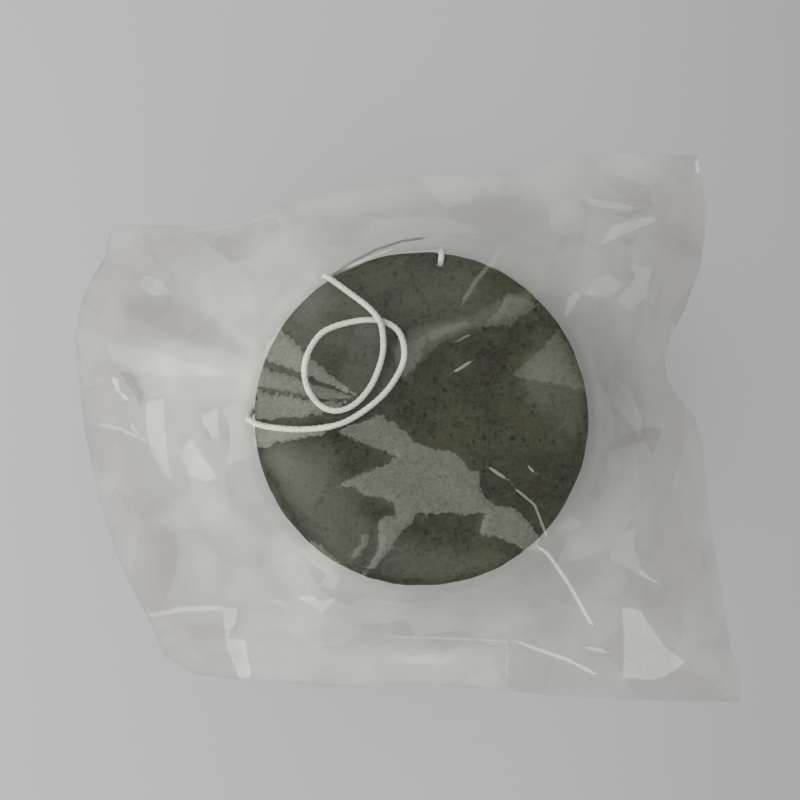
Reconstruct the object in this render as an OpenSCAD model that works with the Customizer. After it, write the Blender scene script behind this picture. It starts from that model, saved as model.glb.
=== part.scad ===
// Konjac sponge in its sealed film bag
// A flattened half ball of grey-green foam lies flat side up, and its cotton
// hanging loop curls over the flat face. A thin clear bag is drawn round both.
// The origin is on the table, under the middle of the bag as it lies.

/* [Sponge] */
// Diameter of the sponge at its flat face
sponge_d = 80; // [70:1:84]
// Height from the settled foot to the flat face
sponge_h = 32; // [26:1:35]
// Diameter of the flat spot that the dome has settled on
foot_d = 30; // [20:1:40]
// Radius of the soft edge round the flat face
rim_r = 1.2; // [0.6:0.1:2]
// Place of the sponge across the bag, from the middle of the bag
sponge_x = 3; // [0:0.5:6]
// Place of the sponge along the bag, from the middle of the bag
sponge_y = 2.7; // [0:0.1:5]

/* [Hanging loop] */
// Diameter of the cotton twine
cord_d = 1.5; // [1.2:0.1:1.8]
// Distance from the rim in to the hole that the twine is threaded through
hole_inset = 3; // [2.6:0.1:4]
// Angle of the hole round the sponge, from the bag's long axis
hole_angle = 83; // [80:1:86]
// Depth that the twine has cut into the edge of the flat face
notch_depth = 2.2; // [1.8:0.1:3]
// Depth that it has cut into the side below the notch
side_cut = 0.7; // [0.5:0.1:0.9]
// Angle of the knot under the rim, as seen from the middle of the ball
knot_drop = 32; // [30:1:40]

/* [Bag] */
// Width of the bag as it lies
bag_w = 175; // [165:1:190]
// Length of the bag as it lies
bag_l = 144; // [138:1:160]
// Thickness of one film
film_t = 0.1; // [0.08:0.01:0.2]
// Width of the welded margin all round
seal_w = 4; // [3:0.5:8]
// Distance that the film stands off the rim before it falls
film_reach = 0.8; // [0.6:0.1:2]
// How much further it stands off where the twine bends over the rim
twine_reach = 2; // [1.8:0.1:4]
// Height of the largest fold between the rim and the weld
fold_h = 5; // [2:0.5:8]

/* [Fits] */
// Free space between the soft pieces
clear = 0.3; // [0.2:0.05:0.4]
// Distance that every cut runs past the foam
overrun = 1; // [0.5:0.5:3]

/* [Hidden] */
$fn = 96;

sponge_r = sponge_d / 2;
foot_r = foot_d / 2;
// Centre height and radius of the ball that the dome is part of, above its foot
ball_z = (sponge_h * sponge_h + sponge_r * sponge_r - foot_r * foot_r) / (2 * sponge_h);
ball_r = sqrt(ball_z * ball_z + foot_r * foot_r);
sponge_place = [sponge_x, sponge_y, film_t];

// The soft edge is an arc that meets the flat face, just inside the ball
edge_step = rim_r / 40;
edge_z = sponge_h - rim_r;
edge_x = sqrt(pow(ball_r - rim_r - edge_step, 2) - pow(ball_z - edge_z, 2));

hole_d = cord_d + 2 * clear;
hole_r = sponge_r - hole_inset;
notch_z = sponge_h - notch_depth + hole_d / 2;
side_cut_h = 3 * hole_d;

// The knot is a twine wound twice round and three times through itself
knot_gap = cord_d / 4;
knot_wind = (cord_d + knot_gap) / 2;
knot_r = knot_wind + cord_d / 2 + knot_gap / 2;
knot_away = ball_r + knot_wind + cord_d / 2 + clear;

// Route of the twine, from the knot up through the hole, under the rim, over
// the face in one open curl and back under the rim to the knot. It is measured
// from the middle of the sponge's foot.
cord_route = [
    [4.6, 37.6, 18.3], [4.5, 36.7, 22.5], [4.5, 36.7, 28.6], [4.6, 37.3, 31],
    [4.7, 38.9, 31.4], [4.8, 39.9, 29.9], [4.2, 39.9, 27.2], [-4.9, 39.4, 25.4],
    [-15.9, 37, 25.6], [-22, 34.1, 28.6], [-22.9, 33.7, 31.5], [-21.8, 33.2, 33.1],
    [-16, 29, 33.2], [-12.6, 26.3, 34.2], [-10.2, 23.5, 35], [-9.2, 20.4, 34.2],
    [-9.3, 14.8, 33], [-12, 7.8, 33], [-16.6, 3, 33], [-22, 2.2, 33],
    [-26.5, 6.4, 33], [-27.5, 13.2, 33], [-23.8, 20, 33], [-17, 22.8, 33],
    [-10, 23.2, 33], [-5.3, 20.4, 33], [-4.2, 14.3, 33], [-7.2, 8, 33],
    [-12.2, 3, 33], [-19.2, -1.1, 33], [-28, -2.4, 33], [-36, -1.8, 33],
    [-39.9, -0.6, 32.6], [-40.9, 1, 30], [-37.4, 6, 20], [-34.5, 16.5, 6.5],
    [-28.5, 26, 1.8], [-15, 35.5, 1.8], [-4.5, 37.4, 7], [-0.1, 36.5, 12.6]
];
cord_sides = 8;
rings_per_step = 2;
// Middle of the curl on the face, the place where it crosses itself, and how
// far the film that they lift stays lifted and then falls
curl = [-16, 13];
curl_reach = 25;
crossing = [-10.2, 23.5];
crossing_reach = 4;
lift_fade = 9;
// Angles round the sponge where the twine bends over the rim, and how wide the
// film stands off there, in degrees
bend_angles = [124, 179];
bend_width = 9;

// Outline of the bag as it lies, in shares of half its width and length
outline_shares = [
    [0.86, 0.04], [0.81, 0.11], [0.775, 0.18], [0.77, 0.26], [0.79, 0.34], [0.83, 0.43],
    [0.875, 0.58], [0.89, 0.7], [0.89, 0.82], [0.87, 0.99], [0.73, 1], [0.57, 1],
    [0.455, 0.98], [0.345, 0.935], [0.215, 0.915], [0.05, 0.92], [-0.115, 0.89], [-0.3, 0.845],
    [-0.49, 0.755], [-0.64, 0.73], [-0.835, 0.74], [-0.895, 0.72], [-0.91, 0.62], [-0.95, 0.54],
    [-0.98, 0.46], [-1, 0.33], [-0.985, 0.155], [-0.97, -0.01], [-0.935, -0.215], [-0.88, -0.445],
    [-0.835, -0.57], [-0.78, -0.695], [-0.73, -0.835], [-0.64, -0.9], [-0.5, -0.92], [-0.235, -0.945],
    [-0.025, -0.94], [0.215, -0.95], [0.455, -0.98], [0.65, -0.99], [0.875, -1], [0.995, -1],
    [1, -0.915], [0.965, -0.79], [0.95, -0.68], [0.925, -0.485], [0.9, -0.28], [0.885, -0.085]
];
outline_steps = 2;
// Rings of the front film: over the face, then down the fall to the weld
face_shares = [0.2, 0.4, 0.6, 0.8, 0.95];
fall_shares = [0, 0.05, 0.12, 0.2, 0.3, 0.42, 0.55, 0.7, 0.85];
sag_power = 1.5;
// Main folds of the fall: angle round the sponge, width in degrees, height share
fold_shares = [
    [12, 8, -0.4], [33, 5, 0.5], [47, 5, 0.8], [64, 5, 0.5], [98, 8, 0.4], [122, 6, 0.6],
    [140, 7, 0.5], [152, 6, -0.4], [166, 5, 1], [186, 6, 0.5], [204, 6, 0.6], [222, 5, 0.7],
    [240, 6, 0.4], [262, 8, 0.4], [288, 6, 0.5], [307, 4, 0.8], [322, 6, 0.7], [345, 7, 0.4]
];

function lerp(a, b, s) = a + (b - a) * s;
function unit(v) = v / norm(v);
function ease(s) = let (c = min(max(s, 0), 1)) c * c * (3 - 2 * c);
function sum(v) = len(v) == 0 ? 0 : [for (e = v) 1] * v;

// A smooth curve through the points: position between point k and the next
function curve_point(p, k, s) = let (
    last = len(p) - 1,
    a = p[max(k - 1, 0)], b = p[k], c = p[min(k + 1, last)], d = p[min(k + 2, last)]
) (2 * b + (c - a) * s + (2 * a - 5 * b + 4 * c - d) * s * s
    + (3 * b - a - 3 * c + d) * s * s * s) / 2;
function curve_points(p, steps) = concat(
    [for (k = [0 : len(p) - 2], j = [0 : steps - 1]) curve_point(p, k, j / steps)],
    [p[len(p) - 1]]
);

// Turns a sideways direction along the path, so that the tube doesn't twist
function carried(t, side) = unit(side - t * (t * side));
function tangents(p, closed) = let (n = len(p)) [for (k = [0 : n - 1])
    closed ? unit(p[(k + 1) % n] - p[(k + n - 1) % n])
           : unit(p[min(k + 1, n - 1)] - p[max(k - 1, 0)])];
function frames(t, k = 0, sides = []) = k == len(t) ? sides
    : frames(t, k + 1, concat(sides, [carried(t[k], k == 0 ? [1, 0, 0] : sides[k - 1])]));

// One round tube along a path, with flat ends, or closed on itself
module tube(path, d, sides, closed = false) {
    n = len(path);
    t = tangents(path, closed);
    u = frames(t);
    points = [for (k = [0 : n - 1], s = [0 : sides - 1])
        path[k] + (u[k] * cos(360 * s / sides) + cross(t[k], u[k]) * sin(360 * s / sides)) * d / 2];
    spans = closed ? n : n - 1;
    walls = [for (k = [0 : spans - 1], s = [0 : sides - 1]) let (
        a = k * sides + s, b = k * sides + (s + 1) % sides,
        c = ((k + 1) % n) * sides + s, e = ((k + 1) % n) * sides + (s + 1) % sides
    ) each [[a, b, e], [a, e, c]]];
    ends = closed ? [] : [for (s = [1 : sides - 2]) each
        [[0, s + 1, s], [(n - 1) * sides, (n - 1) * sides + s, (n - 1) * sides + s + 1]]];
    polyhedron(points, [for (f = concat(walls, ends)) [f[2], f[1], f[0]]]);
}

// Half of the sponge's section, from its axis out
module sponge_section() {
    intersection() {
        translate([0, ball_z]) circle(ball_r);
        square([sponge_d, edge_z]);
    }
    translate([edge_x, edge_z]) circle(rim_r);
    translate([0, edge_z - rim_r]) square([edge_x, 2 * rim_r]);
}

module sponge_body() {
    color([0.31, 0.32, 0.27]) translate(sponge_place) difference() {
        rotate_extrude() sponge_section();
        rotate([0, 0, hole_angle]) {
            translate([hole_r, 0, 0]) cylinder(h = sponge_h + overrun, d = hole_d);
            translate([hole_r, 0, notch_z]) rotate([0, 90, 0]) cylinder(h = sponge_d, d = hole_d);
            translate([hole_r, -hole_d / 2, notch_z]) cube([sponge_d, hole_d, sponge_h]);
            translate([sponge_r - side_cut, -hole_d / 2, notch_z - side_cut_h])
                cube([sponge_d, hole_d, sponge_h]);
        }
    }
}

module hanging_cord() {
    color([0.9, 0.89, 0.85]) translate(sponge_place)
        tube(curve_points(cord_route, rings_per_step), cord_d, cord_sides);
}

// Two turns about the knot's axis with three winds through the middle
function knot_point(a) = [(knot_r + knot_wind * cos(3 * a)) * cos(2 * a),
    (knot_r + knot_wind * cos(3 * a)) * sin(2 * a), knot_wind * sin(3 * a)];

module cord_knot() {
    knot_rings = 36;
    color([0.9, 0.89, 0.85]) translate(sponge_place) rotate([0, 0, hole_angle])
        translate([0, 0, ball_z]) rotate([0, 90 + knot_drop, 0]) translate([0, 0, knot_away])
        rotate([0, 0, 180]) tube([for (k = [0 : knot_rings - 1]) knot_point(360 * k / knot_rings)],
            cord_d, cord_sides, closed = true);
}

// The bag's outline in real sizes, as one closed smooth curve
function outline_knot(k) = let (n = len(outline_shares), e = outline_shares[(k + n) % n])
    [e[0] * bag_w / 2, e[1] * bag_l / 2];
outline = [for (k = [0 : len(outline_shares) - 1], j = [0 : outline_steps - 1])
    lerp(outline_knot(k), outline_knot(k + 1), j / outline_steps)];

module bag_back_film() {
    color([0.86, 0.87, 0.87, 0.5]) linear_extrude(film_t) polygon(outline);
}

middle = [sponge_x, sponge_y];
function lift(p) = clear + (cord_d + 2 * clear) * ease((curl_reach + lift_fade - norm(p - curl)) / lift_fade)
    + (cord_d + clear) * ease((crossing_reach + lift_fade - norm(p - crossing)) / lift_fade);
function face_z(p) = 2 * film_t + sponge_h + lift(p);
// Share of a hump that is left at an angle, for a hump of a width at another angle
function hump(angle, at, width) = let (off = abs(angle - at), turn = min(off, 360 - off))
    exp(-pow(turn / width, 2));
function fold_at(angle) = sum([for (f = fold_shares) f[2] * hump(angle, f[0], f[1])]);
function shoulder_at(angle) = sponge_r + film_reach
    + twine_reach * max([for (a = bend_angles) hump(angle, a, bend_width)]);
// Height of a fold down the fall, in shares: none at either end, steep at the shoulder
function fold_rise(s) = 4 * s * (1 - s) * (1 - s);

// One point of the film's underside: ring j along the line from the middle of
// the sponge to outline point i. The last two rings are the weld's two edges.
function film_point(i, j) = let (
    away = unit(outline[i] - middle),
    angle = (atan2(away[1], away[0]) + 360) % 360,
    shoulder_r = shoulder_at(angle),
    shoulder = middle + away * shoulder_r,
    weld = outline[i] - away * seal_w,
    falls = j - len(face_shares)
) j < len(face_shares)
    ? let (p = away * sponge_r * face_shares[j]) [middle[0] + p[0], middle[1] + p[1], face_z(p)]
    : falls < len(fall_shares)
    ? let (
        s = fall_shares[falls],
        p = lerp(shoulder, weld, s),
        top = face_z(away * shoulder_r) - film_t,
        fold = fold_h * fold_at(angle) * fold_rise(s)
    ) [p[0], p[1], film_t + top * pow(1 - s, sag_power) + fold]
    : let (p = falls == len(fall_shares) ? weld : outline[i]) [p[0], p[1], film_t];

module bag_front_film() {
    n = len(outline);
    rings = len(face_shares) + len(fall_shares) + 2;
    under = [for (j = [0 : rings - 1], i = [0 : n - 1]) film_point(i, j)];
    over = [for (j = [0 : rings - 1], i = [0 : n - 1]) let (
        falling = j >= len(face_shares) && j < rings - 2,
        away = falling ? unit(outline[i] - middle) * film_t : [0, 0]
    ) film_point(i, j) + [away[0], away[1], film_t]];
    heart = [middle[0], middle[1], face_z([0, 0])];
    count = n * rings;
    // Under side, over side, their two middles and the rim between them
    skin = [for (j = [0 : rings - 2], i = [0 : n - 1]) let (
        a = j * n + i, b = j * n + (i + 1) % n, c = a + n, e = b + n
    ) each [[a, e, b], [a, c, e], [count + a, count + b, count + e], [count + a, count + e, count + c]]];
    caps = [for (i = [0 : n - 1]) each
        [[2 * count, i, (i + 1) % n], [2 * count + 1, count + (i + 1) % n, count + i]]];
    rim = [for (i = [0 : n - 1]) let (a = (rings - 1) * n + i, b = (rings - 1) * n + (i + 1) % n)
        each [[a, count + b, b], [a, count + a, count + b]]];
    color([0.9, 0.9, 0.9, 0.4]) polyhedron(
        concat(under, over, [heart, heart + [0, 0, film_t]]), concat(skin, caps, rim));
}

sponge_body();
hanging_cord();
cord_knot();
bag_back_film();
bag_front_film();
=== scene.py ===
import math

import bpy
import numpy as np
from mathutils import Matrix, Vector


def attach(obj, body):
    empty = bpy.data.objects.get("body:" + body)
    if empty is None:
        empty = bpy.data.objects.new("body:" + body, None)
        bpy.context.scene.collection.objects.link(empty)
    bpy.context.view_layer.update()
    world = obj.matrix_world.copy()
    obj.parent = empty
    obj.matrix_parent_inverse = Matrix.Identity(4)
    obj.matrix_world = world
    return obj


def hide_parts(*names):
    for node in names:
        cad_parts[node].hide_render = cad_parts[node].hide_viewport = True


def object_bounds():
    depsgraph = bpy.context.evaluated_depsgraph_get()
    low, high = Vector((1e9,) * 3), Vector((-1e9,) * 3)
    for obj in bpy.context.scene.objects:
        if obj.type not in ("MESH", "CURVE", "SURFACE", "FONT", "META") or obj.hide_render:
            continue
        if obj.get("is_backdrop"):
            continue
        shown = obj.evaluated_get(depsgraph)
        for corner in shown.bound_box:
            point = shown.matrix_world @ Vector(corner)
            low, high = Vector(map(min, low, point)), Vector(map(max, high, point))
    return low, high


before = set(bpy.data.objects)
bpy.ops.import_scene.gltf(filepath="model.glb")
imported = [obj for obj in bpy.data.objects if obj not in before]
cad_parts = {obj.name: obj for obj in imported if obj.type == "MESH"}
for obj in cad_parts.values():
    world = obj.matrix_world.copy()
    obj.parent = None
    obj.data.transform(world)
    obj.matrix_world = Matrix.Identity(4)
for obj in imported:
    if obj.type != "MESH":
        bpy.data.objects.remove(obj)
cadBox = [list(corner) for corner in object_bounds()]
scene = bpy.context.scene
mm = 0.001

# View and light: the camera looks straight down, as in the photograph
view = {
    "height": 320,  # camera above the table
    "frameWidth": 210.1,  # width of the table that the frame shows
    "middle": (-2.1, 7.2),  # place on the table under the camera
    "picture": 800,  # width and height of the picture in pixels
}
studio = {
    "tableColour": (0.465, 0.464, 0.463),
    "tableSize": 3000,
    "tableDrop": 0.1,
    "paleShare": 1.03,
    "rightShadeShare": 0.93,  # painted shade: the table is a little darker on the right
    "roomLight": 0.6,
    "roomColour": (0.985, 0.992, 1),
    "lampPlace": (-420, -50, 620),
    "lampSize": (800, 800),
    "lampPower": 3.55,
    "lampColour": (1.0, 0.992, 0.98),
}


def pixelSize(height):
    # Millimetres in a pixel at this height: frame / picture (camera - height) / camera
    return view["frameWidth"] / view["picture"] * (view["height"] - height) / view["height"]


def photoPoints(points, height):
    # x = (column - half) pixel + middle, and y likewise upwards
    off = (np.array(points, float) - view["picture"] / 2) * pixelSize(height)
    return off * (1, -1) + view["middle"]


def seenPixels(points):
    # The same the other way round: the pixel at which the camera sees each point
    off = (points[:, :2] - view["middle"]) / pixelSize(points[:, 2])[:, None]
    return off * (1, -1) + view["picture"] / 2


def addObject(name, data):
    made = bpy.data.objects.new(name, data)
    scene.collection.objects.link(made)
    return made


def addMesh(name, points, faces):
    # points are millimetres and become metres, faces are arrays of corner numbers
    mesh = bpy.data.meshes.new(name)
    corners = [face for part in faces for face in part.tolist()]
    mesh.from_pydata((np.asarray(points) * mm).tolist(), [], corners)
    return mesh


lens = bpy.data.cameras.new("overheadCamera")
lens.sensor_fit = "HORIZONTAL"
lens.angle = 2 * math.atan(view["frameWidth"] / 2 / view["height"])
camera = addObject("overheadCamera", lens)
camera.location = [v * mm for v in (*view["middle"], view["height"])]
scene.camera = camera
scene.view_settings.view_transform = "Standard"
print("camera set")


class Value:
    # A socket that carries a number: Python's operators on it add Math nodes
    def __init__(self, look, socket):
        self.look, self.socket = look, socket

    def __add__(self, other):
        return self.look.math("ADD", self, other)

    def __sub__(self, other):
        return self.look.math("SUBTRACT", self, other)

    def __rsub__(self, other):
        return self.look.math("SUBTRACT", other, self)

    def __mul__(self, other):
        return self.look.math("MULTIPLY", self, other)

    __radd__ = __add__
    __rmul__ = __mul__


class Look:
    # A material whose nodes come from one method, with numbers as Values
    def __init__(self, name):
        self.material = bpy.data.materials.new(name)
        self.material.use_nodes = True
        self.tree = self.material.node_tree
        self.tree.nodes.clear()

    def node(self, kind, settings, sockets, output=0):
        made = self.tree.nodes.new("ShaderNode" + kind)
        for name, value in settings.items():
            setattr(made, name, value)
        for name, value in sockets.items():
            if isinstance(value, Value):
                self.tree.links.new(value.socket, made.inputs[name])
            else:
                made.inputs[name].default_value = value
        return Value(self, made.outputs[output]) if made.outputs else made

    def math(self, operation, *values):
        return self.node("Math", {"operation": operation}, dict(enumerate(values)))

    def step(self, value, low, high):
        # 0 below low, 1 above high, and smooth between
        settings = {"interpolation_type": "SMOOTHSTEP"}
        return self.node("MapRange", settings, {"Value": value, "From Min": low, "From Max": high})

    def blend(self, share, first, second):
        # The first colour at share 0, the second at share 1
        first, second = (v if isinstance(v, Value) else (*v, 1) for v in (first, second))
        settings = {"data_type": "RGBA", "clamp_factor": True}
        return self.node("Mix", settings, {0: share, 6: first, 7: second}, 2)

    def place(self):
        return self.node("TexCoord", {}, {}, "Object")

    def noise(self, spot, scale, detail=3.0, roughness=0.5):
        sockets = {"Vector": spot, "Scale": scale, "Detail": detail, "Roughness": roughness}
        return self.node("TexNoise", {}, sockets)

    def warped(self, spot, scale, reach):
        # The place moved by up to half of reach each way, by a noise of its own for each axis
        sockets = {"Vector": spot, "Scale": scale, "Detail": 1.0}
        stir = self.node("TexNoise", {}, sockets, "Color")
        sockets = {0: stir, 1: (reach, reach, reach), 2: spot}
        return self.node("VectorMath", {"operation": "MULTIPLY_ADD"}, sockets)

    def cells(self, near, scale):
        # Cells: the distance to the cell's middle, and a number from 0 to 1 for each cell
        sockets = {"Vector": near, "Scale": scale}
        away, pick = (self.node("TexVoronoi", {}, sockets, name) for name in ("Distance", "Color"))
        return away, self.node("SeparateColor", {}, {"Color": pick})

    def facetTones(self, spot, scale, reach):
        # Flat angular cells, each with a tone of its own and a slope across it: about -0.5 to 0.5
        away, number = self.cells(self.warped(spot, scale * 0.6, reach), scale)
        return number * (1.3 - away) - 0.42

    def attribute(self, name):
        return self.node("Attribute", {"attribute_name": name}, {}, "Fac")

    def bump(self, height, strength, distance):
        sockets = {"Height": height, "Strength": strength, "Distance": distance}
        return self.node("Bump", {}, sockets)

    def matt(self, colour, roughness, **others):
        sockets = {key.replace("_", " "): value for key, value in others.items()}
        sockets.update({"Base Color": colour, "Roughness": roughness})
        return self.node("BsdfPrincipled", {}, sockets)

    def finish(self, surface):
        self.node("OutputMaterial", {}, {"Surface": surface})
        return self.material


def gridFaces(rows, columns, closed=False):
    # Quad (i, j) joins points j and j + 1, round the ring, of rows i and i + 1
    i = np.arange(rows if closed else rows - 1)[:, None]
    j = np.arange(columns)[None, :]
    below, above, left, right = i * columns, (i + 1) % rows * columns, j, (j + 1) % columns
    quads = [below + left, below + right, above + right, above + left]
    return np.stack(quads, axis=-1).reshape(-1, 4)


def poleFaces(start, columns, pole, turned=False):
    # A fan from one point to a ring of the grid
    j = np.arange(columns)
    ring = [start + j, start + (j + 1) % columns]
    fan = [np.full(columns, pole), *(ring[::-1] if turned else ring)]
    return np.stack(fan, axis=1)


def buildPiece(name, points, faces, material, marks):
    mesh = addMesh(name, points, faces)
    mesh.polygons.foreach_set("use_smooth", np.ones(len(mesh.polygons), bool))
    for key, values in marks.items():
        layer = mesh.attributes.new(key, "FLOAT", "POINT")
        layer.data.foreach_set("value", values.astype(np.float32))
    mesh.materials.append(material)
    mesh.update()
    piece = addObject(name, mesh)
    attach(piece, "root")
    return piece


def applyModifiers(piece):
    # Leaves the finished mesh on the piece, with no live modifier
    graph = bpy.context.evaluated_depsgraph_get()
    shaped = piece.evaluated_get(graph)
    mesh = bpy.data.meshes.new_from_object(shaped, preserve_all_data_layers=True, depsgraph=graph)
    piece.modifiers.clear()
    piece.data = mesh


def hashed(cell, seed):
    # A number from 0 to 1 for each whole-number cell, always the same for one seed
    mixed = (cell * np.array([73856093, 19349663, 83492791])).sum(axis=-1) + seed * 2654435761
    mixed = (mixed ^ (mixed >> 13)) * 1274126177 & 0x7FFFFFFF
    mixed = (mixed ^ (mixed >> 15)) * 668265263 & 0x7FFFFFFF
    return (mixed ^ (mixed >> 12)) % 100003 / 100003


def softNoise(points, size, seed):
    # Hashed corner numbers of a cube lattice, blended with 3t^2 - 2t^3 along each axis: -1 to 1
    spot = points / size
    cell = np.floor(spot).astype(np.int64)
    t = spot - cell
    t = t * t * (3 - 2 * t)
    total = 0
    for corner in np.ndindex(2, 2, 2):
        share = np.prod(np.where(corner, t, 1 - t), axis=-1)
        total = total + share * hashed(cell + np.array(corner), seed)
    return total * 2 - 1


def ease(t):
    # 3t^2 - 2t^3, held at 0 below 0 and at 1 above 1
    t = np.clip(t, 0, 1)
    return t * t * (3 - 2 * t)


def splinePoints(route, steps):
    # A cubic through the middle two of each four points, with slopes (next - last) / 2
    route, last = np.asarray(route, float), len(route) - 1
    a, b, c, d = (route[np.clip(np.arange(last) + k, 0, last)][:, None] for k in (-1, 0, 1, 2))
    t = (np.arange(steps) / steps)[None, :, None]
    square, cube = 2 * a - 5 * b + 4 * c - d, 3 * b - a - 3 * c + d
    curve = (2 * b + (c - a) * t + square * t**2 + cube * t**3) / 2
    return np.concatenate([curve.reshape(-1, 3), route[-1:]])


def lengths(ways):
    return np.linalg.norm(ways, axis=-1)


def lengthSoFar(line):
    # Length along the line up to each of its points
    return np.concatenate([[0], np.cumsum(lengths(np.diff(line, axis=0)))])


def unit(ways):
    return ways / lengths(ways)[:, None]


def evenly(line, spacing, closed=False):
    # The same line with its points the same distance apart
    if closed:
        line = np.concatenate([line, line[:1]])
    along = lengthSoFar(line)
    count = int(round(along[-1] / spacing)) + 1
    wanted = np.linspace(0, along[-1], count)
    even = np.stack([np.interp(wanted, along, line[:, k]) for k in range(line.shape[1])], axis=1)
    return even[:-1] if closed else even


# Foam: its measures come first, because the twine's places are taken from its foot
foam = {
    "place": (3, 2.7, 0.1),  # middle of the foot, on the back film
    "faceHeight": 32,
    "radius": 40,
    "footRadius": 15,
    "edgeRadius": 1.2,
    "holeAngle": 83,
    "holeRadius": 37,
    "holeWidth": 2.1,
    "notchDepth": 2.2,
    "cutLength": 18.5,  # length of twine that runs through the hole and the notch
    "rings": 216,
    "sides": 440,
    "sway": 0.22,  # soft unevenness of the cast foam
    "settledHeight": 3,  # up to here the foot's unevenness fades out
    "pitDepth": 0.5,
    "pitSpacing": 5.5,
    "pitSizes": (0.35, 1.3),
    "valleyHalf": 1.25,  # half width of the twine's valley over the edge
    "valleyStart": 1.6,  # how far inside the hole's axis it begins
    "darkTone": (0.018, 0.0174, 0.01),
    "paleTone": (0.049, 0.0515, 0.027),
    "fibreTone": (0.081, 0.0825, 0.051),
    # painted shade in the pores
    "poreShadeTone": (0.008, 0.008, 0.005),
    # Pores: cells a metre, largest size in cells, share of the cells, how far they are bent
    "pores": [(430, 0.4, 0.5, 0.0011), (760, 0.42, 0.6, 0.0008), (1400, 0.42, 0.65, 0.0004)],
}
# The ball whose surface passes through the edges of the foot and of the face
ballHeight = foam["faceHeight"] ** 2 + foam["radius"] ** 2 - foam["footRadius"] ** 2
ballHeight /= 2 * foam["faceHeight"]
ballRadius = math.hypot(ballHeight, foam["footRadius"])
foamPlace = np.array(foam["place"])

# Cotton twine and its knot
twine = {
    "diameter": 1.5,
    "length": 267,
    "strands": 3,
    "strandTurn": 4.2,  # length of one turn of a strand
    "strandDepth": 0.32,  # 1 is three fully round strands, 0 a plain round cord
    "spacing": 0.22,
    "sides": 24,
    "colour": (0.59, 0.592, 0.55),
    "shade": (0.48, 0.48, 0.44),
    "unevenness": 0.02,
    # From the knot up the hole, over the edge, round the face and back, from the foot's middle
    "route": [
        (4.6, 37.6, 18.3), (4.5, 36.7, 22.5), (4.5, 36.7, 28.6), (4.6, 37.3, 31), (4.7, 38.9, 31.4),
        (4.8, 39.9, 29.9), (4.2, 39.9, 27.2), (-4.9, 39.4, 25.4), (-15.9, 37, 25.6),
        (-22, 34.1, 28.6), (-22.9, 33.7, 31.5), (-21.8, 33.2, 33.1), (-16, 29, 33.2),
        (-12.6, 26.3, 34.2), (-10.2, 23.5, 35), (-9.2, 20.4, 34.2), (-9.3, 14.8, 33),
        (-12, 7.8, 33), (-16.6, 3, 33), (-22, 2.2, 33), (-26.5, 6.4, 33), (-27.5, 13.2, 33),
        (-23.8, 20, 33), (-17, 22.8, 33), (-10, 23.2, 33), (-5.3, 20.4, 33), (-4.2, 14.3, 33),
        (-7.2, 8, 33), (-12.2, 3, 33), (-19.2, -1.1, 33), (-28, -2.4, 33), (-36, -1.8, 33),
        (-39.9, -0.6, 32.6), (-40.9, 1, 30), (-37.4, 6, 20), (-34.5, 16.5, 6.5), (-28.5, 26, 1.8),
        (-15, 35.5, 1.8), (-4.5, 37.4, 7), (-0.1, 36.5, 12.6),
    ],
}  # fmt: skip
knot = {"drop": 32, "gap": 0.375, "clearance": 0.3}


def strandedTube(line, size, closed=False, depth=None):
    # A circle swept along the line, whose radius at angle a and length s is that of three
    # round strands side by side, turned by s / strandTurn
    ahead = np.roll(line, -1, axis=0) - np.roll(line, 1, axis=0)
    if not closed:
        ahead[0], ahead[-1] = line[1] - line[0], line[-1] - line[-2]
    ahead = unit(ahead)
    out = line - (foamPlace if not closed else line.mean(axis=0))
    if closed:
        out = out + np.cross(ahead, out) * 0.3
    side = unit(out - ahead * (out * ahead).sum(axis=1, keepdims=True))
    across = np.cross(ahead, side)
    along = lengthSoFar(line)
    strand = size / 2 / (1 + 2 / math.sqrt(3)) * 1.12
    off = size / 2 - strand
    turn = math.tau * np.arange(twine["sides"]) / twine["sides"]
    twist = math.tau * along / twine["strandTurn"]
    if closed:
        whole = round((along[-1] + lengths(line[0] - line[-1])) / twine["strandTurn"])
        twist = math.tau * whole * np.arange(len(line)) / len(line)
    third = math.tau / twine["strands"]
    local = (turn[None, :] - twist[:, None]) % third - third / 2
    radius = off * np.cos(local) + np.sqrt(strand**2 - (off * np.sin(local)) ** 2)
    radius = size / 2 + (radius - size / 2) * (twine["strandDepth"] if depth is None else depth)
    places = np.stack([along * 1.7, along * 0, along * 0], axis=1)
    radius *= 1 + twine["unevenness"] * softNoise(places, 1.0, 5)[:, None]
    cosine, sine = np.cos(turn)[None, :, None], np.sin(turn)[None, :, None]
    grid = line[:, None] + (side[:, None] * cosine + across[:, None] * sine) * radius[:, :, None]
    return grid, radius / radius.max()


def twineMaterial():
    # Pale cotton with fine fibres, greyer in the grooves between strands by painted shade
    look = Look("twineCotton")
    spot = look.place()
    fibre = look.noise(spot, 5200, 2)
    tone = look.noise(spot, 260, 2)
    # painted shade in the grooves between strands
    groove = look.step(look.attribute("crown"), 0.78, 0.97)
    share = (groove * 0.75 + tone * 0.35 + fibre * 0.2) * 0.9
    colour = look.blend(share, twine["shade"], twine["colour"])
    normal = look.bump(fibre + groove * 0.6, 0.5, 0.0001)
    sheen = {"Sheen_Weight": 0.25, "Specular_IOR_Level": 0.2}
    return look.finish(look.matt(colour, 0.85, **sheen, Normal=normal))


twineFinish = twineMaterial()


def endCaps(count, sides):
    # Fans to two added points at the ends of an open tube
    first, last = count * sides, count * sides + 1
    return [poleFaces(0, sides, first, True), poleFaces((count - 1) * sides, sides, last)]


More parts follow.
